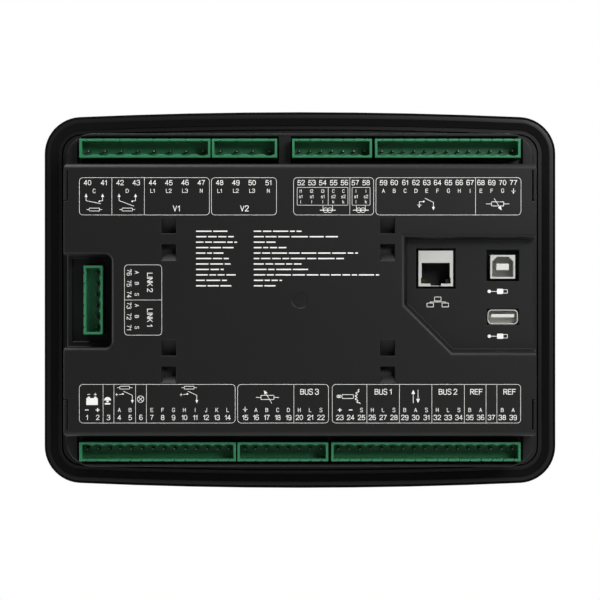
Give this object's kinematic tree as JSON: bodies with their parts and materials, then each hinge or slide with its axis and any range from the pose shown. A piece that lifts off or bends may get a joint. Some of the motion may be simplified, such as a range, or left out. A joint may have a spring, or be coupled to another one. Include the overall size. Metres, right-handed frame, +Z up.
{
  "type": "generator-set controller",
  "caption": "Panel-mount generator controller: bowed bezel with keys and display, deep black rear case, green pin headers, data sockets and cable-tie points.",
  "frame": {"origin": "middle of the panel cut-out, on the panel's outer surface where the gasket seats", "axes": "+Z up, +Y towards the operator, -Y towards the terminals, +X to the right seen from behind"},
  "size_m": [0.2458, 0.051, 0.1808],
  "materials": {
    "case_plastic": "fine moulded texture",
    "bezel_plastic": "moulded satin",
    "gasket_foam": "closed-cell rubber",
    "board_laminate": "solder mask",
    "header_plastic": "moulded polyamide",
    "tinned_pin": "tin plated",
    "socket_plate": "nickel-plated sheet",
    "socket_black": "moulded",
    "contact_gold": "gold flash",
    "lens_amber": "moulded lens",
    "tongue_white": "moulded",
    "screw_steel": "zinc plated",
    "package_black": "moulded epoxy",
    "ring_core": "lacquered winding",
    "can_sleeve": "shrunk sleeve",
    "cell_steel": "nickel plated",
    "window_acrylic": "clear moulded",
    "display_steel": "folded sheet",
    "display_glass": "liquid-crystal cell",
    "keypad_silicone": "moulded silicone",
    "guide_acrylic": "clear moulded",
    "led_resin": "resin package",
    "key_red": "moulded silicone",
    "key_green": "moulded silicone",
    "key_grey": "moulded silicone"
  },
  "bodies": {
    "controller": {"rear_case": "case_plastic", "front_bezel": "bezel_plastic", "front_fascia": "bezel_plastic", "panel_gasket": "gasket_foam", "main_board": "board_laminate", "front_board": "board_laminate", "top_header_8": "header_plastic", "top_header_4": "header_plastic", "top_header_7": "header_plastic", "top_header_13": "header_plastic", "bottom_header_14": "header_plastic", "bottom_header_8": "header_plastic", "bottom_header_17": "header_plastic", "side_header_6": "header_plastic", "top_pins_8": "tinned_pin", "top_pins_4": "tinned_pin", "top_pins_7": "tinned_pin", "top_pins_13": "tinned_pin", "bottom_pins_14": "tinned_pin", "bottom_pins_8": "tinned_pin", "bottom_pins_17": "tinned_pin", "side_pins_6": "tinned_pin", "network_shell": "socket_plate", "square_port_shell": "socket_plate", "flat_port_shell": "socket_plate", "network_insert": "socket_black", "link_socket": "socket_black", "link_header": "socket_black", "cell_holder": "socket_black", "sounder": "socket_black", "network_contacts": "contact_gold", "network_lenses": "lens_amber", "square_port_tongue": "tongue_white", "flat_port_tongue": "tongue_white", "main_screws": "screw_steel", "front_screws": "screw_steel", "processor": "package_black", "relays": "package_black", "inductor": "package_black", "current_transformers": "ring_core", "capacitors": "can_sleeve", "coin_cell": "cell_steel", "display_window": "window_acrylic", "display_frame": "display_steel", "display_glass": "display_glass", "keypad_mat": "keypad_silicone", "light_guides": "guide_acrylic", "status_leds": "led_resin"},
    "stop_button": {"stop_key": "key_red"},
    "manual_button": {"manual_key": "key_grey"},
    "auto_button": {"auto_key": "key_grey"},
    "mute_button": {"mute_key": "key_grey"},
    "start_button": {"start_key": "key_green"},
    "close_button": {"close_key": "key_grey"},
    "open_button": {"open_key": "key_grey"},
    "up_button": {"up_key": "key_grey"},
    "down_button": {"down_key": "key_grey"},
    "left_button": {"left_key": "key_grey"},
    "right_button": {"right_key": "key_grey"},
    "enter_button": {"enter_key": "key_grey"}
  },
  "joints": [
    {"name": "stop_press", "type": "slide", "parent": "controller", "child": "stop_button", "axis": [0, -1, 0], "range_m": [0, 0.001], "stiffness_N_per_m": 1500, "springref_m": -0.0005},
    {"name": "manual_press", "type": "slide", "parent": "controller", "child": "manual_button", "axis": [0, -1, 0], "range_m": [0, 0.001], "stiffness_N_per_m": 1500, "springref_m": -0.0005},
    {"name": "auto_press", "type": "slide", "parent": "controller", "child": "auto_button", "axis": [0, -1, 0], "range_m": [0, 0.001], "stiffness_N_per_m": 1500, "springref_m": -0.0005},
    {"name": "mute_press", "type": "slide", "parent": "controller", "child": "mute_button", "axis": [0, -1, 0], "range_m": [0, 0.001], "stiffness_N_per_m": 1500, "springref_m": -0.0005},
    {"name": "start_press", "type": "slide", "parent": "controller", "child": "start_button", "axis": [0, -1, 0], "range_m": [0, 0.001], "stiffness_N_per_m": 1500, "springref_m": -0.0005},
    {"name": "close_press", "type": "slide", "parent": "controller", "child": "close_button", "axis": [0, -1, 0], "range_m": [0, 0.001], "stiffness_N_per_m": 1500, "springref_m": -0.0005},
    {"name": "open_press", "type": "slide", "parent": "controller", "child": "open_button", "axis": [0, -1, 0], "range_m": [0, 0.001], "stiffness_N_per_m": 1500, "springref_m": -0.0005},
    {"name": "up_press", "type": "slide", "parent": "controller", "child": "up_button", "axis": [0, -1, 0], "range_m": [0, 0.001], "stiffness_N_per_m": 1500, "springref_m": -0.0005},
    {"name": "down_press", "type": "slide", "parent": "controller", "child": "down_button", "axis": [0, -1, 0], "range_m": [0, 0.001], "stiffness_N_per_m": 1500, "springref_m": -0.0005},
    {"name": "left_press", "type": "slide", "parent": "controller", "child": "left_button", "axis": [0, -1, 0], "range_m": [0, 0.001], "stiffness_N_per_m": 1500, "springref_m": -0.0005},
    {"name": "right_press", "type": "slide", "parent": "controller", "child": "right_button", "axis": [0, -1, 0], "range_m": [0, 0.001], "stiffness_N_per_m": 1500, "springref_m": -0.0005},
    {"name": "enter_press", "type": "slide", "parent": "controller", "child": "enter_button", "axis": [0, -1, 0], "range_m": [0, 0.001], "stiffness_N_per_m": 1500, "springref_m": -0.0005}
  ]
}
